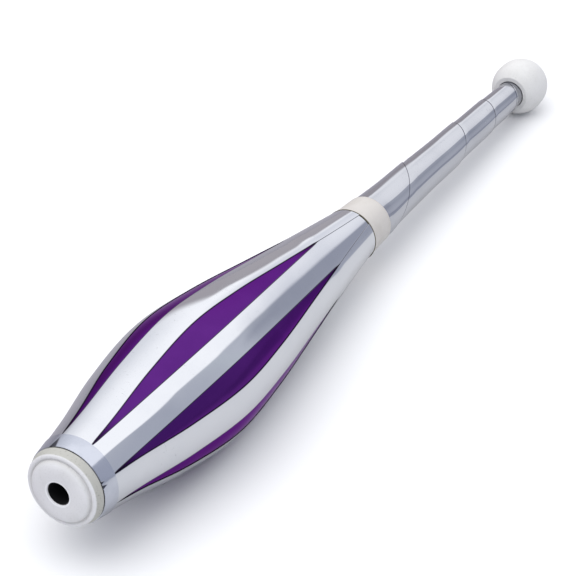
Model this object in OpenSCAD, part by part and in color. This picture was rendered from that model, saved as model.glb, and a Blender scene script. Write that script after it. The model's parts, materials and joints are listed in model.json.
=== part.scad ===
// Juggling club, lying at rest on its belly and its knob.
// Every piece is drawn upright along +Z, from the foot's face at height 0 to the knob's end,
// and lay() then turns it down along +X, so that it rests on the plane at height 0.

/* [Club] */
// Overall length, from the foot's face to the end of the knob
club_l = 520; // [500:1:540]
// Height of the foot outside the body
foot_h = 8; // [7:0.5:10]
// Angle of the first film strip, from the club's top line towards -Y
strip_start = -5; // [-22:0.1:22]
// Angle by which each strip lies askew to the axis
strip_skew = 0.75; // [0:0.05:1]

/* [Body] */
// Outside radius at the body's mouth, over the film
mouth_r = 20.7; // [19:0.1:22]
// Outside radius at the belly, over the film
belly_r = 37.8; // [35:0.1:42]
// Distance of the belly from the foot's face
belly_at = 110; // [100:1:125]
// Outside radius at the neck, over the film
neck_r = 14.9; // [14.5:0.1:16]
// Distance of the neck from the foot's face
neck_at = 288; // [280:1:292]
// Wall of the blow-moulded body
body_wall = 1.5; // [1.2:0.1:2]

/* [Mirror film] */
// Number of film strips round the body
strips = 8; // [8:1:8]
// Width of a strip before it is laid on
strip_w = 17.8; // [15:0.1:19]
// Thickness of the film with its backing
film_t = 0.3; // [0.2:0.05:0.5]
// Width of the clear band over the strip ends at the mouth
band_w = 9; // [7:0.5:12]
// Thickness of the band
band_t = 0.25; // [0.2:0.05:0.4]

/* [Neck tape] */
// Width of the white tape
tape_w = 20.5; // [15:0.1:25]
// Thickness of the white tape
tape_t = 0.5; // [0.3:0.1:0.8]

/* [Handle] */
// Radius of the film on the handle where it enters the knob
grip_r = 8.3; // [8.3:0.1:9.5]
// Distance of the knob's mouth from the foot's face
grip_at = 489; // [485:1:490]
// Wall of the handle sleeve
sleeve_wall = 1; // [0.8:0.1:1]
// Thickness of one layer of the padded handle wrap
wrap_t = 0.6; // [0.4:0.1:0.6]
// Extra thickness where one turn of the wrap lies over the next
wrap_step = 0.7; // [0.3:0.1:0.8]

/* [Core] */
// Outside radius of the core tube
core_r = 6.6; // [6.4:0.1:6.6]
// Wall of the core tube
core_wall = 1.4; // [1:0.1:2]

/* [Foot] */
// Outside radius of the foot
foot_r = 20.8; // [20:0.1:22]
// Radius of the hole in the foot
hole_r = 6.3; // [5:0.1:6.5]
// Thickness of the foot's face round the hole
face_t = 3.5; // [3:0.5:4]

/* [Knob] */
// Largest radius of the knob
knob_r = 16.6; // [15:0.1:18]
// Half the length of the knob's full curve
knob_half_l = 17.2; // [16:0.1:18]
// Squareness of the knob's curve, 2 being an ellipse
knob_power = 2.3; // [2:0.1:3]

/* [Hidden] */
$fn = 96;
fit_gap = 0.05;                  // radial room between pieces that slide together
profile_step = 8;                // spacing of the body's rings
turn_ends = [335, 412, 456];     // knob-side edges of the wrap's turns
turn_lap = 16;                   // length over which one turn lies on the next
tack_count = 4;
tack_at = 290.5;                 // distance of the tacks from the foot's face
tack_r = 0.75;
tack_head_r = 1.8;
tack_head_t = 0.4;
collar_end = 294;                // end of the body's neck, under the tape
spigot_at = 280;                 // start of the sleeve's spigot inside the body's neck
boss_r = 9;                      // outside radius of the base plug's boss
flange_at = 11;                  // front of the base plug's flange
flange_t = 4;
plug_end = 27;
core_at = 14;                    // front end of the core tube
core_end = 506;
sleeve_end = 494;
knob_socket_end = 495;
screw_r = 1.75;
screw_head_r = 3.6;
screw_head_t = 2.4;
washer_r = 4.7;
washer_t = 0.8;
seat_at = 513;                   // face under the washer in the knob's end
recess_r = 5.2;
foam_starts = [300, 345, 400];   // foot-side ends of the foam rings
foam_l = 36;
footprint_x = 60;                // reach of a strip's cutting outline, past the belly
half_pitch = 180 / strips;
tape_at = neck_at - 4.5;
handle_film_at = collar_end + 2;
wrap_end = grip_at + 4;

PURPLE = "#5b2584";
SILVER = "#cdd1da";
WHITE = "#e9e8e2";
BLACK = "#1b1b1d";

function mix(a, b, f) = a + (b - a) * f;

// Stations [height, radius] that the outside passes through: mouth, belly, neck and grip
// are the driving sizes, and those between them are set as shares of the way.
body_stations = [
    [foot_h, mouth_r],
    [mix(foot_h, belly_at, 0.27), mix(mouth_r, belly_r, 0.28)],
    [mix(foot_h, belly_at, 0.6), mix(mouth_r, belly_r, 0.71)],
    [belly_at, belly_r],
    [mix(belly_at, neck_at, 0.23), mix(belly_r, neck_r, 0.135)],
    [mix(belly_at, neck_at, 0.51), mix(belly_r, neck_r, 0.455)],
    [mix(belly_at, neck_at, 0.77), mix(belly_r, neck_r, 0.76)],
    [neck_at, neck_r]
];
handle_stations = [
    [neck_at, neck_r],
    [mix(neck_at, grip_at, 0.22), mix(neck_r, grip_r, 0.32)],
    [mix(neck_at, grip_at, 0.57), mix(neck_r, grip_r, 0.635)],
    [grip_at, grip_r]
];

// Slope of the outline at one station, from its neighbours
function slope(st, i) =
    let (a = st[max(i - 1, 0)], b = st[min(i + 1, len(st) - 1)])
    (b[1] - a[1]) / (b[0] - a[0]);

// Radius of the smooth outline through the stations at height z
function outline_r(st, z, i = 0) =
    z > st[i + 1][0] && i < len(st) - 2 ? outline_r(st, z, i + 1) :
    let (a = st[i], b = st[i + 1], span = b[0] - a[0], u = (z - a[0]) / span)
    (2 * pow(u, 3) - 3 * pow(u, 2) + 1) * a[1]
    + (pow(u, 3) - 2 * pow(u, 2) + u) * span * slope(st, i)
    + (3 * pow(u, 2) - 2 * pow(u, 3)) * b[1]
    + (pow(u, 3) - pow(u, 2)) * span * slope(st, i + 1);

function body_r(z) = outline_r(body_stations, min(z, neck_at));
function handle_r(z) = outline_r(handle_stations, min(z, grip_at));

// Heights from one end to the other in equal steps of about profile_step
function heights(from, to) =
    let (n = max(1, round((to - from) / profile_step)))
    [for (i = [0 : n]) mix(from, to, i / n)];

// The knob's outline: a squared ellipse, cut off at its mouth
knob_mid = club_l - knob_half_l;
mouth_angle = -asin(pow((knob_mid - grip_at) / knob_half_l, knob_power / 2));
knob_outline = [
    for (i = [0 : 23])
        let (a = mix(mouth_angle, 90, i / 24), k = 2 / knob_power)
        [knob_r * pow(cos(a), k), knob_mid + knob_half_l * sign(a) * pow(abs(sin(a)), k)]
];
body_outline = [for (z = heights(foot_h, neck_at)) [body_r(z), z]];

// The foot's outside, from the rim of the hole round to the body: a flat face, a dome,
// a ring round the dome and a rounded edge
face_r = 10;
dome_r = 16;
ledge_z = 3.2;
edge_round = 2.6;
foot_outline = concat(
    [[hole_r, 0.4], [hole_r + 0.4, 0]],
    [for (a = [0 : 15 : 75]) [mix(face_r, dome_r, sin(a)), ledge_z * (1 - cos(a))]],
    [[dome_r, ledge_z], [dome_r + 0.5, ledge_z - 0.2]],
    [for (a = [0 : 15 : 90]) [foot_r - edge_round * (1 - sin(a)), ledge_z + edge_round * (1 - cos(a))]],
    [[foot_r, foot_h]]
);

// How far an outline reaches below the axis once the club is tilted by angle a
function depth_below(outline, a) = max([for (p = outline) p[1] * sin(a) + p[0] * cos(a)]);

// The tilt at which the belly and the knob are equally low
function lying_tilt(low, high, n) =
    let (mid = (low + high) / 2)
    n == 0 ? mid :
    depth_below(knob_outline, mid) < depth_below(body_outline, mid)
        ? lying_tilt(mid, high, n - 1) : lying_tilt(low, mid, n - 1);

tilt = lying_tilt(0, 10, 40);
rise = depth_below(body_outline, tilt);
low_x = min([for (p = foot_outline) p[1] * cos(tilt) - p[0] * sin(tilt)]);
high_x = max([for (p = knob_outline) p[1] * cos(tilt) + p[0] * sin(tilt)]);

// Turns an upright piece down to where it lies, centred over the origin
module lay() {
    translate([-(low_x + high_x) / 2, 0, rise])
        rotate([0, 90 + tilt, 0])
            children();
}

module ring(r_in, r_out, from, to) {
    rotate_extrude()
        translate([r_in, from])
            square([r_out - r_in, to - from]);
}

// A skin between two radii that both follow the given outside radii
module skin(zs, r_out, r_in) {
    n = len(zs) - 1;
    rotate_extrude()
        polygon(concat(
            [for (i = [0 : n]) [r_out[i], zs[i]]],
            [for (i = [n : -1 : 0]) [r_in[i], zs[i]]]
        ));
}

// Places its child at each tack, pointing away from the axis
module at_tacks() {
    for (i = [0 : tack_count - 1])
        rotate([0, 0, 45 + 360 * i / tack_count])
            translate([0, 0, tack_at])
                rotate([0, 90, 0])
                    children();
}

tack_tip = core_r + 2;
collar_r = neck_r - film_t;
spigot_r = collar_r - body_wall - fit_gap;
head_seat = collar_r - 0.25;

module tack_hole() {
    translate([0, 0, tack_tip - fit_gap])
        cylinder(r = tack_r + fit_gap, h = collar_r);
}

module body_shell() {
    zs = heights(foot_h, neck_at);
    color(PURPLE)
        difference() {
            rotate_extrude()
                polygon(concat(
                    [for (z = zs) [body_r(z) - film_t, z]],
                    [[collar_r, collar_end], [collar_r - body_wall, collar_end]],
                    [for (i = [len(zs) - 1 : -1 : 0]) [body_r(zs[i]) - film_t - body_wall, zs[i]]]
                ));
            at_tacks() tack_hole();
            at_tacks()
                translate([0, 0, head_seat])
                    cylinder(r = tack_head_r + fit_gap, h = 5);
        }
}

// A strip is cut straight, so it keeps its width over the belly, and it lies a little askew;
// near both ends it meets its neighbours along the planes halfway between them.
module foil_strip(i) {
    zs = heights(foot_h, neck_at);
    half_w = strip_w / 2;
    meet_x = half_w / tan(half_pitch);
    color(SILVER)
        intersection() {
            skin(zs, [for (z = zs) body_r(z)], [for (z = zs) body_r(z) - film_t]);
            rotate([0, 0, 180 + strip_start + 360 * (i - 1) / strips])
                translate([0, 0, belly_at])
                    rotate([strip_skew, 0, 0])
                        linear_extrude(2 * neck_at, center = true)
                            polygon([
                                [0, 0], [meet_x, -half_w], [footprint_x, -half_w],
                                [footprint_x, half_w], [meet_x, half_w]
                            ]);
        }
}

module base_band() {
    zs = heights(foot_h + 0.3, foot_h + 0.3 + band_w);
    color("#b9bdca")
        skin(zs, [for (z = zs) body_r(z) + band_t], [for (z = zs) body_r(z) + 0.01]);
}

module neck_tape() {
    zs = [tape_at, neck_at, tape_at + tape_w];
    rs = [body_r(tape_at), neck_r, handle_r(tape_at + tape_w)];
    color(WHITE)
        skin(zs, [for (r = rs) r + tape_t], [for (r = rs) r + 0.02]);
}

module handle_sleeve() {
    zs = concat(heights(collar_end, grip_at), [sleeve_end]);
    outer = [for (z = zs) [handle_r(z) - wrap_t, z]];
    inner = [for (i = [len(zs) - 1 : -1 : 0]) [handle_r(zs[i]) - wrap_t - sleeve_wall, zs[i]]];
    color("#d8d8d4")
        difference() {
            rotate_extrude()
                polygon(concat(
                    [[spigot_r, spigot_at], [spigot_r, collar_end]],
                    outer,
                    inner,
                    [[spigot_r - sleeve_wall, collar_end], [spigot_r - sleeve_wall, spigot_at]]
                ));
            at_tacks() tack_hole();
        }
}

// The wrap's turns overlap: each rises over the start of the next and ends in a small step.
module handle_wrap() {
    plain = 22;
    rises = [for (e = turn_ends) each [[e - turn_lap, 0], [e, wrap_step], [e, 0], [e + plain, 0]]];
    outside = concat([[handle_film_at, 0]], rises, [[grip_at, 0], [wrap_end, 0]]);
    inside = heights(handle_film_at, wrap_end);
    color(SILVER)
        rotate_extrude()
            polygon(concat(
                [for (p = outside) [handle_r(p[0]) + p[1], p[0]]],
                [for (i = [len(inside) - 1 : -1 : 0]) [handle_r(inside[i]) - wrap_t + 0.01, inside[i]]]
            ));
}

module core_tube() {
    color(BLACK) ring(core_r - core_wall, core_r, core_at, core_end);
}

module neck_collar() {
    color("#c9a877")
        difference() {
            ring(core_r + fit_gap, spigot_r - sleeve_wall - fit_gap, spigot_at, collar_end - 1);
            at_tacks() tack_hole();
        }
}

module neck_tacks() {
    color("#b8b8b4")
        at_tacks() {
            translate([0, 0, tack_tip])
                cylinder(r = tack_r, h = head_seat - tack_tip + 0.1);
            translate([0, 0, head_seat])
                cylinder(r = tack_head_r, h = tack_head_t);
        }
}

module foam_ring(i) {
    zs = heights(foam_starts[i - 1], foam_starts[i - 1] + foam_l);
    color("#8d8f93")
        skin(zs,
            [for (z = zs) handle_r(z) - wrap_t - sleeve_wall - 0.1],
            [for (z = zs) core_r + fit_gap]);
}

module base_plug() {
    bore = core_r + 0.1;
    mouth_in = mouth_r - film_t - body_wall - fit_gap;
    color(BLACK)
        rotate_extrude()
            polygon([
                [bore, face_t + 0.1], [boss_r, face_t + 0.1], [boss_r, flange_at],
                [mouth_in, flange_at], [mouth_in, flange_at + flange_t],
                [boss_r + 1.5, flange_at + flange_t + 2], [boss_r + 1.5, plug_end], [bore, plug_end]
            ]);
}

module foot() {
    skirt_r = mouth_r - film_t - body_wall - fit_gap;
    color(WHITE)
        rotate_extrude()
            polygon(concat(
                foot_outline,
                [[skirt_r, foot_h], [skirt_r, flange_at - fit_gap]],
                [[boss_r + fit_gap, flange_at - fit_gap], [boss_r + fit_gap, face_t], [hole_r, face_t]]
            ));
}

module knob() {
    lip = 0.8;
    socket_r = grip_r + 0.4;
    color(WHITE)
        difference() {
            rotate_extrude()
                polygon(concat(
                    [[0, grip_at], [socket_r, grip_at], [socket_r + lip, grip_at]],
                    knob_outline,
                    [[0, club_l]]
                ));
            translate([0, 0, grip_at - 1])
                cylinder(r = socket_r, h = knob_socket_end - grip_at + 1);
            translate([0, 0, grip_at])
                cylinder(r = core_r + fit_gap, h = core_end + 0.1 - grip_at);
            translate([0, 0, grip_at])
                cylinder(r = screw_r + 0.3, h = club_l - grip_at);
            translate([0, 0, seat_at])
                cylinder(r = recess_r, h = club_l - seat_at);
        }
}

module knob_plug() {
    color("#c9a877")
        ring(screw_r + fit_gap, core_r - core_wall - fit_gap, 476, core_end);
}

module knob_washer() {
    color("#b8b8b4") ring(screw_r + 0.2, washer_r, seat_at, seat_at + washer_t);
}

module knob_screw() {
    head_at = seat_at + washer_t;
    color("#b8b8b4")
        difference() {
            union() {
                translate([0, 0, 482])
                    cylinder(r = screw_r, h = head_at - 481.9);
                translate([0, 0, head_at])
                    cylinder(r = screw_head_r, h = screw_head_t);
            }
            for (a = [0, 90])
                rotate([0, 0, a])
                    translate([-2.2, -0.4, head_at + screw_head_t - 1.2])
                        cube([4.4, 0.8, 2]);
        }
}

lay() body_shell();
lay() base_band();
lay() neck_tape();
lay() handle_sleeve();
lay() handle_wrap();
lay() core_tube();
lay() neck_collar();
lay() neck_tacks();
lay() base_plug();
lay() foot();
lay() knob();
lay() knob_plug();
lay() knob_washer();
lay() knob_screw();
for (i = [1 : strips])
    lay() foil_strip(i);
for (i = [1 : len(foam_starts)])
    lay() foam_ring(i);
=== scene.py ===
# A juggling club at rest on a pale table: it lies on its belly and its knob.
import json
from math import asin, atan2, cos, degrees, exp, pi, radians, sin

import bpy
from mathutils import Matrix, Vector


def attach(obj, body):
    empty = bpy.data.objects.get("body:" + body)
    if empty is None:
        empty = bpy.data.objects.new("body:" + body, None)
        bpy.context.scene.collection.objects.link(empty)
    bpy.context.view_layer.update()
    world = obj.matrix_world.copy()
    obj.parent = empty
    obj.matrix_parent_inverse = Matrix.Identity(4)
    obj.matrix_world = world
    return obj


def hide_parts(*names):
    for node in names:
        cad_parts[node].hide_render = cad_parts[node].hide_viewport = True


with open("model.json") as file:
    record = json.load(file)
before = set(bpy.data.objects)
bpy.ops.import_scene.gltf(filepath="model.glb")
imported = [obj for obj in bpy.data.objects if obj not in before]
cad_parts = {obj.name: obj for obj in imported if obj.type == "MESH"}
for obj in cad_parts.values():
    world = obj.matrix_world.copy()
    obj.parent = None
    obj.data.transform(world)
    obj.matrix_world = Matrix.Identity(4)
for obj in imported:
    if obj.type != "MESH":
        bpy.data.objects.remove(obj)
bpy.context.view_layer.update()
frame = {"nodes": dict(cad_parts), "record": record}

# ---------------------------------------------------------------------------
# Camera. It stands at the foot's end, a long lens looking down over the club's near side.
scene = bpy.context.scene
scene.view_settings.view_transform = "Standard"
view_azimuth = radians(-59.84)
view_elevation = radians(34.42)
view_distance = 1.2618
look_at = Vector((-0.0439, 0.0009, 0.0331))
camera = bpy.data.objects.new("camera", bpy.data.cameras.new("camera"))
scene.collection.objects.link(camera)
camera.data.lens = 147.5
camera.data.sensor_width = 36
camera.rotation_euler = (pi / 2 - view_elevation, 0, view_azimuth)
towards_camera = Vector((
    sin(view_azimuth) * cos(view_elevation),
    -cos(view_azimuth) * cos(view_elevation),
    sin(view_elevation)))
camera.location = look_at + towards_camera * view_distance
scene.camera = camera


# ---------------------------------------------------------------------------
# Studio. A white overhead dome of light with soft grey walls round its foot, as a light
# tent has, over a pale table. The film mirrors all of it.
class Wiring:
    """Lays out one node tree: add() makes a node, sets its sockets and returns it."""

    def __init__(self, tree):
        self.tree = tree

    def add(self, kind, settings=None, **sockets):
        node = self.tree.nodes.new(kind)
        for name, value in (settings or {}).items():
            setattr(node, name, value)
        for name, value in sockets.items():
            self.feed(value, node.inputs[name])
        return node

    def feed(self, value, socket):
        if isinstance(value, bpy.types.Node):
            value = value.outputs[0]
        if isinstance(value, bpy.types.NodeSocket):
            self.tree.links.new(value, socket)
        elif isinstance(value, (tuple, list)) and len(value) == 3 and socket.type == "RGBA":
            socket.default_value = (*value, 1)
        else:
            socket.default_value = value

    def math(self, operation, *values):
        node = self.add("ShaderNodeMath", {"operation": operation})
        for i, value in enumerate(values):
            self.feed(value, node.inputs[i])
        return node

    def mix(self, share, a, b):
        """Colour a turning into colour b as share goes from 0 to 1."""
        node = self.add("ShaderNodeMix", {"data_type": "RGBA"})
        for i, value in zip((0, 6, 7), (share, a, b)):
            self.feed(value, node.inputs[i])
        return node.outputs[2]

    def ramp(self, value, low, high):
        """A smooth step from 0 to 1 as value goes from low to high."""
        node = self.add("ShaderNodeMapRange", {"interpolation_type": "SMOOTHSTEP"})
        for i, number in enumerate((value, low, high)):
            self.feed(number, node.inputs[i])
        return node


world = bpy.data.worlds.new("light_tent")
scene.world = world
world.use_nodes = True
tent = Wiring(world.node_tree)
world.node_tree.nodes.clear()
direction = tent.add("ShaderNodeTexCoord").outputs["Generated"]
along_x, along_y, along_z = tent.add("ShaderNodeSeparateXYZ", Vector=direction).outputs
bearing = tent.math("MULTIPLY", tent.math("ARCTAN2", along_y, along_x), 180 / pi)
height_angle = tent.math("MULTIPLY", tent.math("ARCSINE", along_z), 180 / pi)
bearing_share = tent.math("MULTIPLY_ADD", bearing, 1 / 360, 0.5)
# Round the tent, by bearing from +X: the height in degrees at which the wall ends, how
# softly it ends, and the wall's own light.
round_the_tent = [
    (-180, 36, 4, (0.58, 0.62, 0.70)), (-90, 42, 2, (0.54, 0.58, 0.67)),
    (-65, 42, 1.3, (0.56, 0.59, 0.69)), (-52, 41, 1.3, (0.65, 0.68, 0.77)),
    (-45, 37, 1.3, (0.69, 0.73, 0.81)), (-40, 34.4, 1.3, (0.70, 0.74, 0.82)),
    (-35, 32.3, 1.5, (0.70, 0.73, 0.82)), (-30, 29, 1.5, (0.69, 0.72, 0.81)),
    (-25, 24.8, 1.8, (0.64, 0.67, 0.76)), (-20, 21.5, 2, (0.55, 0.58, 0.66)),
    (-14, 17, 2.5, (0.46, 0.48, 0.56)), (0, 13, 3, (0.46, 0.48, 0.55)),
    (12, 11, 3, (0.48, 0.46, 0.50)), (22, 13.5, 2, (0.51, 0.49, 0.53)),
    (26, 14.5, 2, (0.53, 0.505, 0.54)), (30, 16.5, 2, (0.54, 0.515, 0.55)),
    (40, 12, 7, (0.50, 0.47, 0.51)), (52, 12, 10, (0.47, 0.45, 0.50)),
    (66, 20, 14, (0.46, 0.45, 0.49)), (95, 38, 14, (0.56, 0.55, 0.58)),
    (150, 36, 8, (0.58, 0.60, 0.66)),
]
edges = tent.add("ShaderNodeValToRGB", Fac=bearing_share)
walls = tent.add("ShaderNodeValToRGB", Fac=bearing_share)
for node in (edges, walls):
    while len(node.color_ramp.elements) < len(round_the_tent):
        node.color_ramp.elements.new(0.5)
for i, (at, end, softness, light) in enumerate(round_the_tent):
    for node, colour in ((edges, (end / 90, softness / 90, 0, 1)), (walls, (*light, 1))):
        node.color_ramp.elements[i].position = at / 360 + 0.5
        node.color_ramp.elements[i].color = colour
edge_parts = tent.add("ShaderNodeSeparateColor", Color=edges)
edge = tent.math("MULTIPLY", edge_parts.outputs["Red"], 90.0)
softness = tent.math("MULTIPLY", edge_parts.outputs["Green"], 90.0)
below, above = tent.math("SUBTRACT", edge, softness), tent.math("ADD", edge, softness)
dome_share = tent.ramp(height_angle, below, above)
# The dome: whitest overhead, dimmer low down at the far end and behind the club.
panel = tent.math("MULTIPLY", tent.ramp(bearing, -30, -16), tent.ramp(bearing, 26, 18))
panel = tent.math("MULTIPLY", panel, tent.ramp(height_angle, 33, 14))
behind = tent.math("MULTIPLY", tent.ramp(bearing, 25, 60), tent.ramp(height_angle, 62, 15))
dome = tent.mix(panel, (1.44, 1.45, 1.48), (0.96, 0.98, 1.06))
dome = tent.mix(behind, dome, (0.98, 1.0, 1.06))
# The doorway: a cooler, darker opening low in the wall beyond the knob
doorway = tent.math("MULTIPLY", tent.ramp(bearing, -36, -22), tent.ramp(bearing, -8, -14))
doorway = tent.math("MULTIPLY", doorway, tent.ramp(height_angle, 22, 15))
low_wall = tent.mix(doorway, walls, (0.43, 0.455, 0.55))
tent_colour = tent.mix(dome_share, low_wall, dome)
backdrop = tent.add("ShaderNodeBackground", Color=tent_colour, Strength=1.0)
tent.add("ShaderNodeOutputWorld", Surface=backdrop)

# One large soft light overhead gives the shadows their direction; the film doesn't mirror it.
key = bpy.data.objects.new("softbox", bpy.data.lights.new("softbox", "AREA"))
scene.collection.objects.link(key)
key.data.shape = "DISK"
key.data.size = 1.4
key.data.energy = 5.5
key.location = (-0.5, 0.25, 1.3)
key.rotation_euler = (Vector((0, 0, 0)) - key.location).to_track_quat("-Z", "Y").to_euler()
key.visible_glossy = False

bpy.ops.mesh.primitive_plane_add(size=12, location=(0, 0, 0))
table = bpy.context.object
table.name = "table"


def new_material(name, surface):
    """A material with its own Principled shader; surface names sockets and their values."""
    made = bpy.data.materials.new(name)
    made.use_nodes = True
    made.node_tree.nodes.clear()
    wiring = Wiring(made.node_tree)
    shader = wiring.add("ShaderNodeBsdfPrincipled")
    wiring.add("ShaderNodeOutputMaterial", Surface=shader)
    for socket, value in surface.items():
        wiring.feed(value, shader.inputs[socket])
    return made, wiring, shader


# The camera sees a pale top. The film mirrors a greyer one, painted shade from the club, with
# painted reflections of grey surroundings: dark close behind the club and blue-grey at the corner
# beyond its knob.
table_top, wires, shader = new_material("table_top", {"Roughness": 0.85, "Specular IOR Level": 0.15})
place = wires.add("ShaderNodeTexCoord").outputs["Object"]
mottle = wires.add("ShaderNodeTexNoise", Vector=place, Scale=3.0, Detail=2.0)
seen = wires.mix(mottle, (0.870, 0.870, 0.875), (0.885, 0.885, 0.890))
mirrored_painted_shade = wires.mix(mottle, (0.690, 0.690, 0.695), (0.705, 0.705, 0.710))
on_table = wires.add("ShaderNodeSeparateXYZ", Vector=place).outputs
along_table, across_table = on_table["X"], on_table["Y"]
# Painted reflection: dark close behind the club
mirrored_painted_shade = wires.mix(wires.ramp(across_table, 0.015, 0.04), mirrored_painted_shade, (0.36, 0.345, 0.375))
# Painted reflection: blue-grey at the corner beyond the knob
beyond = wires.math(
    "MULTIPLY", wires.ramp(across_table, -0.12, -0.16), wires.ramp(along_table, 0.08, 0.16))
mirrored_painted_shade = wires.mix(beyond, mirrored_painted_shade, (0.365, 0.38, 0.44))
straight = wires.add("ShaderNodeLightPath").outputs["Is Camera Ray"]
wires.feed(wires.mix(straight, mirrored_painted_shade, seen), shader.inputs["Base Color"])
table.data.materials.append(table_top)

# ---------------------------------------------------------------------------
# Body shell. A blow-moulded hollow plastic body under a skin of metallic violet film. It
# shows in long leaf-shaped windows between the mirror strips, and ends in a short straight
# collar under the neck tape.

# Every piece is shaped upright in mm, with the foot's face at height 0 and the top of the
# lying club along -X, and is laid down once it is finished.
MM = 0.001
foot_hole = next(m for m in frame["record"]["mounts"] if m["name"] == "foot_hole")
foot_hole_depth = 1.95
to_knob = -Vector(foot_hole["axis"]).normalized()
foot_centre = Vector(foot_hole["pos_m"]) - to_knob * foot_hole_depth * MM
lying = Matrix.Translation(foot_centre) @ Matrix.Rotation(atan2(to_knob.x, to_knob.z), 4, "Y")

# Thicknesses of the strips' film and of the shell, then heights along the club
film = 0.3
shell_wall = 1.5
foot_height = 8
neck_at = 288
collar_end = 294
# Heights and radii, over the strips, that the body passes through
body_line = [(8, 20.7), (35.54, 25.488), (69.2, 32.841), (110, 37.8),
             (150.94, 34.7085), (200.78, 27.3805), (247.06, 20.396), (288, 14.9)]


def line_radius(line, height):
    """Radius at a height, on one smooth curve through the points of a line."""
    last = len(line) - 2
    i = next((k for k in range(last) if height <= line[k + 1][0]), last)

    def slope(k):
        (h0, r0), (h1, r1) = line[max(k - 1, 0)], line[min(k + 1, last + 1)]
        return (r1 - r0) / (h1 - h0)

    (h0, r0), (h1, r1) = line[i], line[i + 1]
    span = h1 - h0
    u = (height - h0) / span
    return ((2 * u**3 - 3 * u**2 + 1) * r0 + (u**3 - 2 * u**2 + u) * span * slope(i)
            + (3 * u**2 - 2 * u**3) * r1 + (u**3 - u**2) * span * slope(i + 1))


def shell_radius(height):
    return line_radius(body_line, min(max(height, foot_height), neck_at)) - film


def evenly(start, end, steps):
    return [start + (end - start) * i / steps for i in range(steps + 1)]


def start_piece(name):
    """Names the mesh that was just added and opens it for editing, all selected."""
    piece = bpy.context.object
    piece.name = name
    bpy.ops.object.mode_set(mode="EDIT")
    bpy.ops.mesh.select_all(action="SELECT")
    return piece


weld = 0.004


def turned(name, outline, sides=128):
    """A turned piece: a circle carried along an outline of (radius, height) points in mm, its
    points joined up where the outline meets itself."""
    bpy.ops.object.select_all(action="DESELECT")
    bpy.ops.mesh.primitive_circle_add(vertices=sides, radius=outline[0][0] * MM)
    piece = start_piece(name)
    bpy.ops.transform.translate(value=(0, 0, outline[0][1] * MM))
    for (r0, h0), (r1, h1) in zip(outline, outline[1:]):
        bpy.ops.mesh.extrude_region_move(TRANSFORM_OT_translate={"value": (0, 0, (h1 - h0) * MM)})
        bpy.ops.transform.resize(value=(r1 / r0, r1 / r0, 1), center_override=(0, 0, 0))
    bpy.ops.mesh.select_all(action="SELECT")
    bpy.ops.mesh.remove_doubles(threshold=weld * MM)
    bpy.ops.mesh.normals_make_consistent(inside=False)
    bpy.ops.object.mode_set(mode="OBJECT")
    return piece


def lay_down(piece, material, sharp=40):
    """Smooths a finished upright piece, lays it where it belongs and gives it its material."""
    bpy.ops.object.select_all(action="DESELECT")
    piece.select_set(True)
    bpy.context.view_layer.objects.active = piece
    bpy.ops.object.shade_smooth_by_angle(angle=radians(sharp))
    piece.matrix_world = lying @ piece.matrix_world
    bpy.ops.object.transform_apply(location=True, rotation=True, scale=True)
    piece.data.materials.clear()
    piece.data.materials.append(material)
    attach(piece, "root")


FLOAT = "NodeSocketFloat"


def new_group(name, inputs, outputs):
    """A shader node group of number sockets; inputs gives each one's first value."""
    group = bpy.data.node_groups.new(name, "ShaderNodeTree")
    for label, value in inputs.items():
        group.interface.new_socket(label, in_out="INPUT", socket_type=FLOAT).default_value = value
    for label in outputs:
        group.interface.new_socket(label, in_out="OUTPUT", socket_type=FLOAT)
    wiring = Wiring(group)
    entry = wiring.add("NodeGroupInput").outputs
    leave = wiring.add("NodeGroupOutput").inputs
    return group, wiring, entry, leave


def use(wiring, group, **sockets):
    """Adds a node group to a material, sets its inputs and returns its outputs."""
    node = wiring.add("ShaderNodeGroup", {"node_tree": group})
    for label, value in sockets.items():
        wiring.feed(value, node.inputs[label])
    return node.outputs


def bumped(wiring, shader, height, strength, depth):
    """Runs a height into a shader's normal; depth is in mm."""
    bump = wiring.add("ShaderNodeBump", Strength=strength, Distance=depth * MM, Height=height)
    wiring.feed(bump, shader.inputs["Normal"])


# Where a shaded point lies on the club: Height in mm from the foot's face, Turn in radians
# from the top line towards -Y, and Radius in mm.
club_place, wires, entry, leave = new_group("club_place", {}, ("Height", "Turn", "Radius"))
from_foot = wires.add("ShaderNodeVectorMath", {"operation": "SUBTRACT"})
wires.feed(wires.add("ShaderNodeTexCoord").outputs["Object"], from_foot.inputs[0])
from_foot.inputs[1].default_value = foot_centre
measured = []
for line in (to_knob, lying.to_3x3() @ Vector((-1, 0, 0)), Vector((0, -1, 0))):
    dot = wires.add("ShaderNodeVectorMath", {"operation": "DOT_PRODUCT"})
    wires.feed(from_foot, dot.inputs[0])
    dot.inputs[1].default_value = line
    measured.append(dot.outputs["Value"])
along_club, up_club, across_club = measured
wires.feed(wires.math("MULTIPLY", along_club, 1000.0), leave["Height"])
wires.feed(wires.math("ARCTAN2", across_club, up_club), leave["Turn"])
squares = [wires.math("MULTIPLY", m, m) for m in (up_club, across_club)]
off_axis = wires.math("SQRT", wires.math("ADD", *squares))
wires.feed(wires.math("MULTIPLY", off_axis, 1000.0), leave["Radius"])

# A fine pebbled grain, as a soft moulding has: Relief for a bump, Specks for the colour.
fine_grain, wires, entry, leave = new_group("fine_grain", {"Size": 0.5}, ("Relief", "Specks"))
point = wires.add("ShaderNodeTexCoord").outputs["Object"]
finer = wires.math("DIVIDE", 1000.0, entry["Size"])
pebbles = wires.add(
    "ShaderNodeTexVoronoi", {"feature": "SMOOTH_F1"}, Vector=point, Scale=finer, Smoothness=0.6)
cloud = wires.add(
    "ShaderNodeTexNoise", Vector=point, Scale=wires.math("MULTIPLY", finer, 0.6), Detail=3.0)
relief = wires.math("MULTIPLY_ADD", pebbles, 0.6, wires.math("MULTIPLY", cloud, 0.6))
wires.feed(relief, leave["Relief"])
wires.feed(wires.ramp(cloud, 0.56, 0.72), leave["Specks"])

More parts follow.
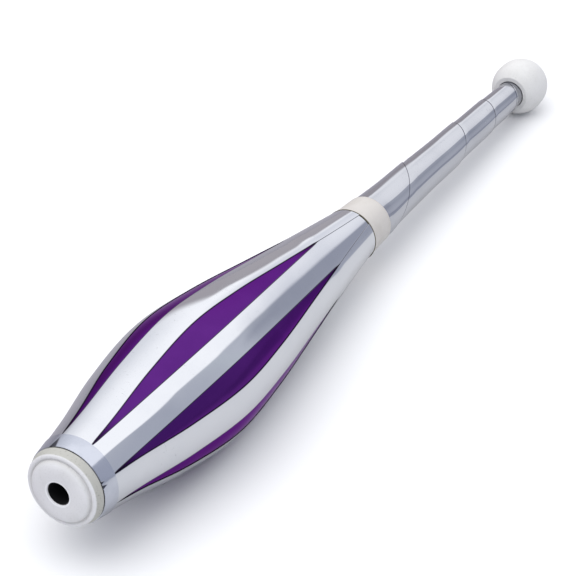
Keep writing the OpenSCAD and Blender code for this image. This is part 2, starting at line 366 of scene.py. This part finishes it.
# Wear from handling: Smudge is a broad cloud, Scuff is short fine marks round the club.
wear, wires, entry, leave = new_group("handling_wear", {"Scale": 60.0}, ("Smudge", "Scuff"))
point = wires.add("ShaderNodeTexCoord").outputs["Object"]
cloud = wires.add(
    "ShaderNodeTexNoise", Vector=point, Scale=entry["Scale"], Detail=4.0, Roughness=0.6)
wires.feed(wires.ramp(cloud, 0.42, 0.68), leave["Smudge"])
stretched = wires.add("ShaderNodeMapping", Vector=point)
stretched.inputs["Scale"].default_value = (3.0, 1.0, 1.0)
lines = wires.add("ShaderNodeTexNoise", Vector=stretched, Scale=420.0, Detail=2.0, Distortion=1.2)
broken = wires.add("ShaderNodeTexNoise", Vector=point, Scale=35.0, Detail=1.0)
mark = wires.math("MULTIPLY", wires.ramp(lines, 0.66, 0.72), wires.ramp(broken, 0.5, 0.6))
wires.feed(mark, leave["Scuff"])

violet, wires, shader = new_material(
    "violet_film", {"Metallic": 1.0, "Specular Tint": (0.80, 0.50, 0.92)})
marks = use(wires, wear, Scale=45.0)
place = use(wires, club_place)
deep = wires.mix(marks["Smudge"], (0.078, 0.0150, 0.155), (0.086, 0.0170, 0.168))
# Towards both tips a window mirrors only the strips beside it: painted shade turns its base colour
# nearly black there
tip_painted_shade = wires.math(
    "MAXIMUM", wires.ramp(place["Height"], 40, 20), wires.ramp(place["Height"], 205, 236))
deep = wires.mix(wires.math("MULTIPLY", tip_painted_shade, 0.9), deep, (0.006, 0.003, 0.012))
wires.feed(deep, shader.inputs["Base Color"])
wires.feed(wires.math("MULTIPLY_ADD", marks["Smudge"], 0.05, 0.15), shader.inputs["Roughness"])
grain = use(wires, fine_grain, Size=0.9)
bumped(wires, shader, grain["Relief"], strength=0.12, depth=0.05)

outer = [(shell_radius(h), h) for h in evenly(foot_height, neck_at, 90)]
collar_radius = outer[-1][0]
inner = [(r - shell_wall, h) for r, h in reversed(outer)]
collar = [(collar_radius, collar_end), (collar_radius - shell_wall, collar_end)]
shell = turned("body_shell_violet", outer + collar + inner + outer[:1], sides=160)
lay_down(shell, violet)
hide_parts("body_shell")

# ---------------------------------------------------------------------------
# Mirror strips. Eight straight strips of silvered film, stuck on lengthwise a little askew.
# They part over the belly and lap over each other at both ends, every other one on top.
strip_half = 8.65
strip_start = -5
strip_drift = -0.0131
belly_at = 110
strip_from = foot_height + 0.2
strip_to = 286
strip_rows = 92
strip_film = 0.26
edge_tuck = 0.06
# Half widths of a strip, in degrees round the body: where it comes to lap its neighbours,
# and where the painted shade along its cut edge fades
lap_at = (20.5, 23)
fade_at = (21.6, 22.8)
edge_fade = 0.4
seam_end = 90
# Columns lie closer towards a strip's edges, where painted shade darkens its cut edge
margins = (0, 0.18, 0.4, 0.8, 1.6)
middle_steps = 14
inside = strip_half - margins[-1]
across = ([-strip_half + m for m in margins]
          + [-inside + 2 * inside * i / middle_steps for i in range(1, middle_steps)]
          + [strip_half - m for m in reversed(margins)])
strip_names = [n for n in frame["nodes"] if n.startswith("foil_strip_")]


def blend(low, high, x):
    """0 up to low, 1 from high, and a smooth rise between."""
    u = min(1, max(0, (x - low) / (high - low)))
    return u * u * (3 - 2 * u)


def on_club(height, angle, radius):
    """The point in metres at a height and radius in mm, angle radians from the top to -Y."""
    return Vector((-radius * cos(angle), -radius * sin(angle), height)) * MM


def ribbon(name, rows, columns, place, thickness):
    """A film: a grid whose points place(row, column) puts on the club, with the distance in
    mm from its nearest edge kept as edge_gap, given its thickness inwards."""
    bpy.ops.object.select_all(action="DESELECT")
    bpy.ops.mesh.primitive_grid_add(x_subdivisions=rows, y_subdivisions=columns, size=1)
    piece = bpy.context.object
    piece.name = name
    gaps = piece.data.attributes.new("edge_gap", "FLOAT", "POINT")
    for vertex in piece.data.vertices:
        row = round((vertex.co.x + 0.5) * rows)
        column = round((vertex.co.y + 0.5) * columns)
        vertex.co, gaps.data[vertex.index].value = place(row, column)
    piece.data.update()
    middle = piece.data.polygons[len(piece.data.polygons) // 2]
    if middle.normal.dot(Vector((middle.center.x, middle.center.y, 0))) < 0:
        start_piece(name)
        bpy.ops.mesh.flip_normals()
        bpy.ops.object.mode_set(mode="OBJECT")
    wall = piece.modifiers.new("wall", "SOLIDIFY")
    wall.thickness = thickness * MM
    wall.offset = -1
    bpy.ops.object.modifier_apply(modifier="wall")
    return piece


def rippled(wiring, shader, stretch, scale, detail, strength, depth):
    """The slow ripple of a film stuck down by hand, drawn out along the club."""
    point = wiring.add("ShaderNodeTexCoord").outputs["Object"]
    along = wiring.add("ShaderNodeMapping", Vector=point)
    along.inputs["Scale"].default_value = (stretch, 1.0, 1.0)
    swell = wiring.add(
        "ShaderNodeTexNoise", Vector=along, Scale=scale, Detail=detail, Roughness=0.4)
    bumped(wiring, shader, swell, strength, depth)


mirror, wires, shader = new_material("mirror_film", {"Metallic": 1.0})
marks = use(wires, wear, Scale=30.0)
gap = wires.add("ShaderNodeAttribute", {"attribute_name": "edge_gap"}).outputs["Fac"]
silver = wires.mix(marks["Smudge"], (0.615, 0.625, 0.655), (0.590, 0.602, 0.636))
silver = wires.mix(wires.math("MULTIPLY", marks["Scuff"], 0.35), silver, (0.35, 0.35, 0.38))
# Painted shade: a dark line along the strip's cut edges
silver = wires.mix(wires.ramp(gap, 0.62, 0.3), silver, (0.03, 0.025, 0.045))
wires.feed(silver, shader.inputs["Base Color"])
haze = wires.math("MULTIPLY_ADD", marks["Smudge"], 0.03, 0.05)
wires.feed(wires.math("MULTIPLY_ADD", marks["Scuff"], 0.2, haze), shader.inputs["Roughness"])
rippled(wires, shader, stretch=0.45, scale=75.0, detail=1.0, strength=0.25, depth=0.12)

for k in range(len(strip_names)):
    on_top = k % 2 == 0
    middle_angle = radians(strip_start + 360 / len(strip_names) * k)

    def place_strip(row, column):
        height = strip_from + (strip_to - strip_from) * row / strip_rows
        offset = across[column]
        radius = shell_radius(height) + film
        half_angle = degrees(strip_half / radius)
        lap = film * blend(*lap_at, half_angle) if on_top else 0
        angle = middle_angle + (offset + strip_drift * (height - belly_at)) / radius
        # Painted shade darkens the cut edges where strips part, and along one seam near the foot
        edge_gap = strip_half - abs(offset)
        seam = k == 0 and offset < 0 and height < seam_end
        edge_gap += 0 if seam else edge_fade * blend(*fade_at, half_angle)
        tuck = edge_tuck if column in (0, len(across) - 1) else 0
        return on_club(height, angle, radius + lap - tuck), edge_gap

    strip = ribbon(f"mirror_strip_{k + 1}", strip_rows, len(across) - 1, place_strip, strip_film)
    lay_down(strip, mirror, sharp=60)
    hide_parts(f"foil_strip_{k + 1}")

# ---------------------------------------------------------------------------
# Base band. A turn of clear silvery tape over the strips' ends, drawn tight on the taper,
# so it creases a little at the foot's side.
band_from, band_to = foot_height + 0.3, foot_height + 9.3
# How far over the shell the band's outer face, its inner face and its far lip stand
band_over, band_under, band_lip = film * 2 + 0.12, 0.1, 0.35
# Each crease: its place round the club and its width in degrees, and the height it reaches
band_creases = ((-23, 7.0, 16.5), (65, 2.2, 10.8), (71, 3.2, 11.6))

clear, wires, shader = new_material("silver_band", {"Metallic": 1.0})
place = use(wires, club_place)
marks = use(wires, wear, Scale=80.0)
tint = wires.mix(marks["Smudge"], (0.50, 0.52, 0.585), (0.45, 0.47, 0.535))
creases_and_painted_shade = 0.0
for turn, width, reach in band_creases:
    aside = wires.math("ABSOLUTE", wires.math("SUBTRACT", place["Turn"], radians(turn)))
    above = wires.math("SUBTRACT", place["Height"], foot_height)
    lean = wires.math("MULTIPLY", above, radians(width) / (reach - foot_height))
    crease = wires.ramp(wires.math("ADD", aside, lean), radians(width), radians(width * 0.6))
    creases_and_painted_shade = wires.math("MAXIMUM", creases_and_painted_shade, crease)
# Painted shade darkens the creases; they are also a bump in the relief
tint = wires.mix(wires.math("MULTIPLY", creases_and_painted_shade, 0.92), tint, (0.02, 0.02, 0.035))
wires.feed(tint, shader.inputs["Base Color"])
wires.feed(wires.math("MULTIPLY_ADD", marks["Smudge"], 0.06, 0.12), shader.inputs["Roughness"])
point = wires.add("ShaderNodeTexCoord").outputs["Object"]
wrinkle = wires.add("ShaderNodeTexNoise", Vector=point, Scale=160.0, Detail=2.0)
relief = wires.math("MULTIPLY_ADD", creases_and_painted_shade, -1.0, wires.math("MULTIPLY", wrinkle, 0.5))
bumped(wires, shader, relief, strength=0.5, depth=0.15)

band_heights = evenly(band_from, band_to, 8)
band_outline = ([(shell_radius(h) + band_over, h) for h in band_heights]
                + [(shell_radius(band_to) + band_lip, band_to + 0.05)]
                + [(shell_radius(h) + band_under, h) for h in reversed(band_heights)])
band = turned("base_band_clear", band_outline + band_outline[:1], sides=160)
lay_down(band, clear)
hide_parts("base_band")

# ---------------------------------------------------------------------------
# Neck tape. White plastic tape wound over the joint of body and handle, its cut end
# pressed down on the far side.
tape_from, tape_to = neck_at - 4.5, neck_at + 16
tape_thick = 0.5
tape_wall = 0.46
tape_ease = 0.12
cut_end = radians(-100)
# Heights and radii, over the wrap, that the handle passes through
handle_line = [(288, 14.9), (332.22, 12.788), (402.57, 10.709), (489, 8.3)]


def wrap_radius(height):
    return line_radius(handle_line, min(height, handle_line[-1][0]))


def under_tape(height):
    """Radius that the tape is wound on: the strips, and past the neck the wrap."""
    return shell_radius(height) + film if height <= neck_at else wrap_radius(height)


def ease_ends(outline, drop, draw_in, reach=0):
    """Rounds off an outer outline: its ends drop by drop mm, and its last points draw in."""
    (first_radius, first), (last_radius, last) = outline[0], outline[-1]
    return ([(first_radius - drop, first - reach), (first_radius, first + draw_in)]
            + outline[1:-1]
            + [(last_radius, last - draw_in), (last_radius - drop, last + reach)])


white_tape, wires, shader = new_material("white_tape", {"Specular IOR Level": 0.4})
place = use(wires, club_place)
marks = use(wires, wear, Scale=110.0)
tone = wires.mix(marks["Smudge"], (0.575, 0.545, 0.515), (0.545, 0.515, 0.48))
rim = wires.math(
    "MAXIMUM",
    wires.ramp(place["Height"], tape_from + 0.9, tape_from),
    wires.ramp(place["Height"], tape_to - 0.9, tape_to))
tone = wires.mix(wires.math("MULTIPLY", rim, 0.3), tone, (0.42, 0.39, 0.34))
# Painted shade darkens the edge towards the body, where the tape stands proud of the strips
edge_painted_shade = wires.ramp(place["Height"], tape_from + 0.42, tape_from + 0.22)
tone = wires.mix(edge_painted_shade, tone, (0.10, 0.09, 0.055))
off_seam = wires.math("ABSOLUTE", wires.math("SUBTRACT", place["Turn"], cut_end))
seam = wires.math("MULTIPLY", wires.ramp(off_seam, 0.02, 0.0), 0.6)
tone = wires.mix(seam, tone, (0.40, 0.38, 0.36))
wires.feed(tone, shader.inputs["Base Color"])
wires.feed(wires.math("MULTIPLY_ADD", marks["Smudge"], 0.12, 0.42), shader.inputs["Roughness"])
grain = use(wires, fine_grain, Size=0.45)
bumped(wires, shader, grain["Relief"], strength=0.2, depth=0.08)

tape_over = [(under_tape(h) + tape_thick, h) for h in evenly(tape_from, tape_to, 12)]
tape_over = ease_ends(tape_over, drop=tape_ease, draw_in=tape_ease, reach=0.02)
tape_under = [(r - tape_wall, h) for r, h in reversed(tape_over)]
tape = turned("neck_tape_white", tape_over + tape_under + tape_over[:1])
lay_down(tape, white_tape)
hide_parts("neck_tape")

# ---------------------------------------------------------------------------
# Handle wrap. One silvered film wound over the padded handle in a spiral whose pitch
# shortens towards the knob. Each turn stands a little proud at its knob-side edge, which
# laps over the next turn, and both its ends are hidden, under the tape and in the knob.
wrap_from, wrap_end = 296, 493
first_turn, last_turn = radians(-112), radians(1560)
wrap_rows = 418
wrap_columns = 22
column_crowding = 1.9
wrap_film = 0.5
# Each turn swells over swell_length to its edge, by turn_step in all
turn_step = 0.5
swell_length = 34
proud_share = 0.75
lap_width = 1.6
lap_depth = 0.25
lap_blend = 0.6
edge_drop = 0.12
fades_before_end = 14
grows_after_tape = 8
# The spiral's edge: where it is counted from, its last pitch in mm a degree, and what it
# climbs besides near the tape, and over how many degrees that dies out
spiral_start = radians(40)
edge_start = 338
last_pitch = 0.075
early_climb = 66.6
early_span = 300


def edge_height(turn):
    """Height of the wrap's knob-side edge, turn radians on from the spiral's start."""
    degrees_on = degrees(turn)
    return edge_start + last_pitch * degrees_on + early_climb * (1 - exp(-degrees_on / early_span))


def place_wrap(row, column):
    turn = first_turn + (last_turn - first_turn) * row / wrap_rows
    edge = min(edge_height(turn), wrap_end)
    before = turn - 2 * pi
    back = wrap_from
    if before >= first_turn:
        back = min(max(edge_height(before) - lap_width, wrap_from), edge)
    edge_gap = (column / wrap_columns) ** column_crowding * (edge - back)
    height = edge - edge_gap
    rise = turn_step * (proud_share - blend(0, swell_length, edge_gap))
    rise *= 1 - blend(wrap_end - fades_before_end, wrap_end, edge)
    rise *= blend(tape_to, tape_to + grows_after_tape, height)
    if before > first_turn:
        lap_edge = edge_height(before)
        rise -= lap_depth * (1 - blend(lap_edge - lap_blend, lap_edge + lap_blend, height))
    if column == 0:
        rise -= edge_drop
    return on_club(height, spiral_start - turn, wrap_radius(height) + rise), edge_gap


silver_wrap, wires, shader = new_material("wrap_film", {"Metallic": 1.0})
marks = use(wires, wear, Scale=38.0)
gap = wires.add("ShaderNodeAttribute", {"attribute_name": "edge_gap"}).outputs["Fac"]
silver = wires.mix(marks["Smudge"], (0.462, 0.470, 0.505), (0.440, 0.448, 0.482))
silver = wires.mix(wires.math("MULTIPLY", marks["Scuff"], 0.5), silver, (0.34, 0.34, 0.37))
# Painted shade: a dark line along each turn's knob-side edge, where it laps over the next turn
cut_edge_painted_shade = wires.math("MULTIPLY", wires.ramp(gap, 1.15, 0.55), 0.85)
silver = wires.mix(cut_edge_painted_shade, silver, (0.07, 0.07, 0.09))
wires.feed(silver, shader.inputs["Base Color"])
haze = wires.math("MULTIPLY_ADD", marks["Smudge"], 0.03, 0.06)
wires.feed(wires.math("MULTIPLY_ADD", marks["Scuff"], 0.2, haze), shader.inputs["Roughness"])
rippled(wires, shader, stretch=0.4, scale=110.0, detail=1.5, strength=0.3, depth=0.2)

wrap = ribbon("handle_wrap_film", wrap_rows, wrap_columns, place_wrap, wrap_film)
lay_down(wrap, silver_wrap, sharp=50)
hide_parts("handle_wrap")

# ---------------------------------------------------------------------------
# Foot. A soft white rubber moulding plugged into the body's mouth: a flat nose round the
# hole, a domed shoulder, a groove and a bumper ring on a tapering, grainier wall.
# Radii from the hole out to the wall
hole = 6.3
face = 10.2
dome = 16.6
ring_crest = 18.2
ring_edge = 19.75
foot_edge = 20.8
# How deep the dome and the ring's rounding fall, then the hidden plug's radii and heights
ledge = 2.75
ring_round = 1.5
skirt, plug_seat = 18.9, 9.1
skirt_end, seat_at = 10.9, 3.5

rubber, wires, shader = new_material("white_rubber", {"Specular IOR Level": 0.35})
place = use(wires, club_place)
marks = use(wires, wear, Scale=70.0)
grain = use(wires, fine_grain, Size=0.55)
cream = wires.mix(marks["Smudge"], (0.735, 0.730, 0.745), (0.690, 0.685, 0.693))
wall_side = wires.math(
    "MULTIPLY", wires.ramp(place["Height"], 3.2, 3.9), wires.ramp(place["Height"], 12, 9))
front = wires.ramp(place["Height"], 6, 5)
# Painted shade greys the groove, and a painted highlight brightens the lip of the hole
groove_painted_shade = wires.math(
    "MULTIPLY", wires.ramp(place["Radius"], 15.2, 16.7), wires.ramp(place["Radius"], 18.2, 17.2))
groove_painted_shade = wires.math("MULTIPLY", groove_painted_shade, wires.math("MULTIPLY", front, 0.4))
# Painted highlight on the lip of the hole
lip_painted_highlight = wires.ramp(place["Radius"], 7.4, 7.0)
lip_painted_highlight = wires.math("MULTIPLY", lip_painted_highlight, wires.math("MULTIPLY", front, 0.8))
speck_share = wires.math("MULTIPLY_ADD", wall_side, 0.55, 0.12)
cream = wires.mix(wall_side, cream, (0.445, 0.44, 0.405))
cream = wires.mix(groove_painted_shade, cream, (0.48, 0.475, 0.45))
cream = wires.mix(lip_painted_highlight, cream, (0.86, 0.86, 0.88))
knob_cream = wires.mix(marks["Smudge"], (0.700, 0.692, 0.682), (0.660, 0.652, 0.640))
cream = wires.mix(wires.ramp(place["Height"], 480, 488), cream, knob_cream)
cream = wires.mix(wires.math("MULTIPLY", grain["Specks"], speck_share), cream, (0.26, 0.25, 0.225))
cream = wires.mix(wires.math("MULTIPLY", marks["Scuff"], 0.25), cream, (0.50, 0.49, 0.48))
wires.feed(cream, shader.inputs["Base Color"])
wires.feed(wires.math("MULTIPLY_ADD", marks["Smudge"], 0.1, 0.48), shader.inputs["Roughness"])
bumped(wires, shader, grain["Relief"], strength=0.35, depth=0.12)


def quarter_turn(start, end, fall, first, step, last):
    """A rounding from radius start out to end, level at height first and fall mm high in all;
    step and last are in degrees."""
    turns = [radians(a) for a in range(0, last, step)]
    return [(start + (end - start) * sin(a), first + fall * (1 - cos(a))) for a in turns]


nose = [(hole, seat_at), (hole, 0.45), (hole + 0.1, 0.15), (hole + 0.35, 0.0),
        (hole + 0.8, 0.02), (face - 1, 0)]
shoulder = quarter_turn(face, dome, fall=ledge, first=0, step=7, last=86)
foot_groove = [(16.68, 3.05), (16.8, 3.2), (17.0, 3.2), (17.3, 3.0), (17.7, 2.8)]
bumper = quarter_turn(ring_crest, ring_edge, fall=ring_round, first=ledge, step=9, last=82)
foot_wall = [(20.15, 5.4), (20.6, 6.8), (foot_edge, foot_height - 0.5),
             (foot_edge - 0.15, foot_height)]
mouth_plug = [(skirt, foot_height), (skirt, skirt_end), (plug_seat, skirt_end),
              (plug_seat, seat_at), (hole, seat_at)]
foot_outline = nose + shoulder + foot_groove + bumper + foot_wall + mouth_plug
foot = turned("foot_rubber", foot_outline, sides=160)
lay_down(foot, rubber)
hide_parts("foot")

# ---------------------------------------------------------------------------
# Hole liner. A thin black tube laid in the hole in the foot as painted shade: it stands for the
# shade deep in the hole, and is why the hole looks black.
liner_outer, liner_inner = 6.28, 6.05
liner_from, liner_to = 0.95, 13.9


def hard_plastic(name, light, dark, rough):
    """A moulded plastic: two tones flowing together, light scuffs and a fine matt grain."""
    made, wires, shader = new_material(name, {"Specular IOR Level": 0.4})
    marks = use(wires, wear, Scale=90.0)
    tone = wires.mix(marks["Smudge"], light, dark)
    tone = wires.mix(wires.math("MULTIPLY", marks["Scuff"], 0.3), tone, (0.3, 0.3, 0.3))
    wires.feed(tone, shader.inputs["Base Color"])
    wires.feed(wires.math("MULTIPLY_ADD", marks["Smudge"], 0.15, rough), shader.inputs["Roughness"])
    grain = use(wires, fine_grain, Size=0.6)
    bumped(wires, shader, grain["Relief"], strength=0.2, depth=0.05)
    return made


black = hard_plastic(
    "black_plastic", light=(0.010, 0.010, 0.011), dark=(0.016, 0.016, 0.018), rough=0.45)
liner_outline = [(liner_outer, liner_from), (liner_outer, liner_to), (liner_inner, liner_to),
                 (liner_inner, liner_from + 0.1), (liner_inner + 0.1, liner_from),
                 (liner_outer, liner_from)]
liner = turned("hole_shade_liner", liner_outline)
lay_down(liner, black)

# ---------------------------------------------------------------------------
# Knob. A squarish ball of the same rubber, open at its mouth round the handle and held by
# a screw sunk in its end.
knob_top, knob_half, knob_radius = 520, 17.2, 16.6
# The outline is a superellipse of this power, a little squarer than a ball
knob_power = 2.3
knob_mouth = 489
socket, socket_end = 8.5, 495
recess, recess_floor = 5.2, 513
screw_hole = 2.05
wood_seat, wood_end = 6.65, 506.1

knob_mid = knob_top - knob_half
mouth_angle = -asin(((knob_mid - knob_mouth) / knob_half) ** (knob_power / 2))
ball = []
for a in evenly(mouth_angle, pi / 2, 48):
    r = knob_radius * max(cos(a), 0) ** (2 / knob_power)
    h = knob_mid + knob_half * (1 if a > 0 else -1) * abs(sin(a)) ** (2 / knob_power)
    if r > recess + 0.5:
        ball.append((r, h))
inside_mouth = [(screw_hole, wood_end), (wood_seat, wood_end), (wood_seat, socket_end),
                (socket, socket_end), (socket, knob_mouth + 0.3), (socket + 0.3, knob_mouth)]
screw_recess = [(recess + 0.35, knob_top - 0.25), (recess + 0.05, knob_top - 0.55),
                (recess, recess_floor), (screw_hole, recess_floor), (screw_hole, wood_end)]
knob = turned("knob_rubber", inside_mouth + ball + screw_recess, sides=160)
lay_down(knob, rubber)
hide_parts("knob")

# ---------------------------------------------------------------------------
# Core and handle sleeve. A hard black tube from foot to knob, on a black plug in the
# body's mouth, and a pale blow-moulded sleeve that the wrap is wound on.
pale = hard_plastic(
    "pale_plastic", light=(0.60, 0.60, 0.58), dark=(0.54, 0.54, 0.52), rough=0.5)


def finish_cad(material, *names):
    """Gives CAD nodes whose shapes stay as they are a material of their own."""
    for name in names:
        frame["nodes"][name].data.materials.clear()
        frame["nodes"][name].data.materials.append(material)


finish_cad(black, "core_tube", "base_plug")
finish_cad(pale, "handle_sleeve")

# ---------------------------------------------------------------------------
# Turned wood. The collar between the core and the neck, and the plug that the knob's
# screw bites into: pale beech, its grain along the club.
beech, wires, shader = new_material("turned_beech", {"Specular IOR Level": 0.3})
point = wires.add("ShaderNodeTexCoord").outputs["Object"]
along = wires.add("ShaderNodeMapping", Vector=point)
along.inputs["Scale"].default_value = (0.08, 1.0, 1.0)
fibre = wires.add("ShaderNodeTexNoise", Vector=along, Scale=900.0, Detail=4.0)
growth = wires.add("ShaderNodeTexNoise", Vector=along, Scale=160.0, Detail=1.0, Distortion=0.4)
wood = wires.mix(wires.ramp(growth, 0.4, 0.6), (0.56, 0.37, 0.20), (0.44, 0.27, 0.13))
wood = wires.mix(wires.ramp(fibre, 0.55, 0.7), wood, (0.30, 0.17, 0.08))
wires.feed(wood, shader.inputs["Base Color"])
wires.feed(wires.math("MULTIPLY_ADD", fibre, 0.2, 0.5), shader.inputs["Roughness"])
bumped(wires, shader, fibre, strength=0.3, depth=0.06)
finish_cad(beech, "neck_collar", "knob_plug")

# ---------------------------------------------------------------------------
# Plated steel. Four tacks under the neck tape, and the knob's screw and washer: bright
# zinc, lightly scratched.
zinc, wires, shader = new_material("plated_steel", {"Metallic": 1.0})
marks = use(wires, wear, Scale=240.0)
plate = wires.mix(marks["Smudge"], (0.62, 0.62, 0.60), (0.50, 0.50, 0.49))
wires.feed(wires.mix(marks["Scuff"], plate, (0.32, 0.31, 0.30)), shader.inputs["Base Color"])
wires.feed(wires.math("MULTIPLY_ADD", marks["Smudge"], 0.15, 0.25), shader.inputs["Roughness"])
grain = use(wires, fine_grain, Size=0.3)
bumped(wires, shader, grain["Relief"], strength=0.1, depth=0.03)
finish_cad(zinc, "neck_tacks", "knob_washer", "knob_screw")

# ---------------------------------------------------------------------------
# Foam rings. Three rings of soft grey foam, pushed on to the core inside the sleeve, which
# give the handle its spring; the squeeze rounds their ends.
foam_starts = (300, 345, 400)
foam_length = 36
foam_inner = 6.65
under_wrap = 1.7

foam, wires, shader = new_material("grey_foam", {"Specular IOR Level": 0.1, "Roughness": 0.95})
grain = use(wires, fine_grain, Size=0.8)
tone = wires.mix(grain["Specks"], (0.26, 0.27, 0.29), (0.15, 0.155, 0.17))
wires.feed(tone, shader.inputs["Base Color"])
bumped(wires, shader, grain["Relief"], strength=0.8, depth=0.3)

for k, start in enumerate(foam_starts):
    end = start + foam_length
    skin = [(wrap_radius(h) - under_wrap, h) for h in evenly(start, end, 8)]
    skin = ease_ends(skin, drop=0.5, draw_in=0.6)
    bore = [(foam_inner, end), (foam_inner, start)]
    ring = turned(f"foam_ring_{k + 1}_soft", skin + bore + skin[:1], sides=64)
    lay_down(ring, foam)
    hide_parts(f"foam_ring_{k + 1}")
